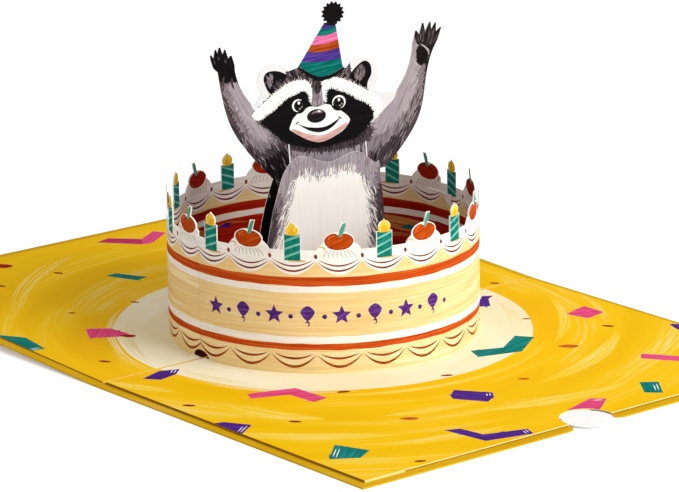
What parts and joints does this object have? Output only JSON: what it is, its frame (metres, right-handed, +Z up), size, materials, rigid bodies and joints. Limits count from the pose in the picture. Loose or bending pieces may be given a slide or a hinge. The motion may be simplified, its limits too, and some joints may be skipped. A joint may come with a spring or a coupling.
{
  "type": "pop-up birthday card",
  "caption": "Open folded card with a paper cake ring, a raccoon in a party hat standing in it, and a note that slides out of a pocket by a round tab.",
  "frame": {"origin": "middle of the card's underside, at table height", "axes": "+X along the fold, -Y towards the half with the pull tab, +Z up"},
  "size_m": [0.178, 0.2574, 0.1051],
  "materials": {
    "cover_card": "matt coated card",
    "liner_print": "matt printed card",
    "note_paper": "uncoated white card",
    "cake_print": "matt printed card",
    "fur_print": "matt printed card",
    "belly_print": "matt printed card",
    "strap_paper": "matt printed card"
  },
  "bodies": {
    "card": {"cover": "cover_card", "front_liner": "liner_print", "back_liner": "liner_print", "cake_wall_front": "cake_print", "cake_wall_back": "cake_print", "figure_panel": "fur_print", "belly_panel": "belly_print", "left_spacer": "strap_paper", "right_spacer": "strap_paper"},
    "note": {"note_card": "note_paper"}
  },
  "joints": [
    {"name": "note_slide", "type": "slide", "parent": "card", "child": "note", "axis": [0, -1, 0], "range_m": [0, 0.085]}
  ]
}
